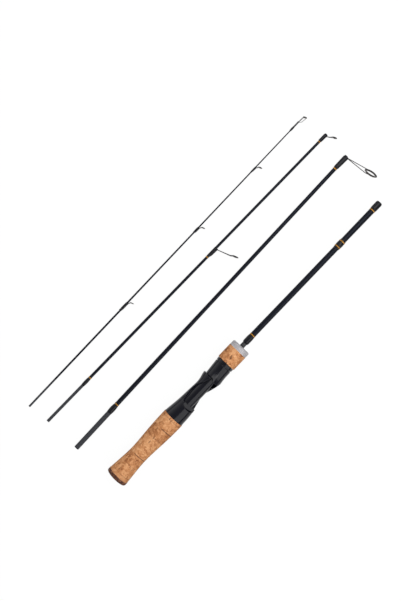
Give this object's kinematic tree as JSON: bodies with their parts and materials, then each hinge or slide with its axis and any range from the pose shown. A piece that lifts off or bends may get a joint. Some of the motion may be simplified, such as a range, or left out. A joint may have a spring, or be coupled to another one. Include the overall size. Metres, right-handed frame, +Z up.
{
  "type": "travel spinning rod",
  "caption": "Take-apart spinning rod laid out in sections: waisted cork grip, black reel seat with a screw-down foregrip, and thin black blanks with wire line guides.",
  "frame": {"origin": "bottom centre of the whole layout's bounding box, on the surface that it lies on", "axes": "+X along the butt section from its cap to its open end, +Y across the layout towards the tip section, +Z up from the table"},
  "size_m": [0.5116, 0.1592, 0.0295],
  "materials": {
    "cork": "sanded",
    "butt_cap": "satin",
    "seat_plastic": "glossy",
    "inner_plastic": "matte",
    "end_ring": "satin",
    "trim_thread": "glossy",
    "thread_wrap": "glossy",
    "guide_frame": "satin",
    "guide_ring": "glossy",
    "core_tube": "satin",
    "blank": "glossy"
  },
  "bodies": {
    "handle": {"butt_cap": "butt_cap", "cork_ring_1": "cork", "cork_ring_2": "cork", "cork_ring_3": "cork", "cork_ring_4": "cork", "cork_ring_5": "cork", "cork_ring_6": "cork", "cork_ring_7": "cork", "cork_ring_8": "cork", "handle_core": "core_tube", "rear_arbor": "inner_plastic", "front_arbor": "inner_plastic", "reel_seat_body": "seat_plastic", "butt_blank": "blank", "butt_wrap_first": "thread_wrap", "butt_wrap_middle": "thread_wrap", "butt_socket_collar": "thread_wrap", "butt_trim_band_1": "trim_thread", "butt_trim_band_2": "trim_thread", "butt_trim_band_3": "trim_thread", "butt_trim_band_4": "trim_thread"},
    "hood": {"moving_hood": "seat_plastic"},
    "foregrip": {"foregrip_nut": "inner_plastic", "foregrip_cork": "cork", "foregrip_end_ring": "end_ring"},
    "lower_section": {"lower_blank": "blank", "lower_wrap_bottom": "thread_wrap", "lower_wrap_top": "thread_wrap", "lower_trim_band_1": "trim_thread", "lower_trim_band_2": "trim_thread", "lower_guide_frame": "guide_frame", "lower_guide_ring": "guide_ring"},
    "upper_section": {"upper_blank": "blank", "upper_wrap_bottom": "thread_wrap", "upper_wrap_middle": "thread_wrap", "upper_wrap_top": "thread_wrap", "upper_trim_band_1": "trim_thread", "upper_trim_band_2": "trim_thread", "upper_trim_band_3": "trim_thread", "upper_guide_frame_1": "guide_frame", "upper_guide_ring_1": "guide_ring", "upper_guide_frame_2": "guide_frame", "upper_guide_ring_2": "guide_ring"},
    "tip_section": {"tip_blank": "blank", "tip_wrap_1": "thread_wrap", "tip_guide_frame_1": "guide_frame", "tip_guide_ring_1": "guide_ring", "tip_wrap_2": "thread_wrap", "tip_guide_frame_2": "guide_frame", "tip_guide_ring_2": "guide_ring", "tip_wrap_3": "thread_wrap", "tip_guide_frame_3": "guide_frame", "tip_guide_ring_3": "guide_ring", "tip_top_frame": "guide_frame", "tip_top_ring": "guide_ring", "tip_top_wrap": "thread_wrap"}
  },
  "joints": [
    {"name": "hood_slide", "type": "slide", "parent": "handle", "child": "hood", "axis": [1, 0, 0], "range_m": [0, 0.01]},
    {"name": "foregrip_turn", "type": "hinge", "parent": "hood", "child": "foregrip", "pos_m": [-0.03404, -0.06497, 0.0146], "axis": [1, 0, 0], "range_deg": [0, 1800]},
    {"name": "lower_section_lift", "type": "slide", "parent": "handle", "child": "lower_section", "axis": [0, 0, 1], "range_m": [0, 0.12]},
    {"name": "upper_section_lift", "type": "slide", "parent": "handle", "child": "upper_section", "axis": [0, 0, 1], "range_m": [0, 0.12]},
    {"name": "tip_section_lift", "type": "slide", "parent": "handle", "child": "tip_section", "axis": [0, 0, 1], "range_m": [0, 0.12]}
  ],
  "couplings": [
    {"joint": "hood_slide", "follows": "foregrip_turn", "m_per_rad": 0.0003183}
  ]
}
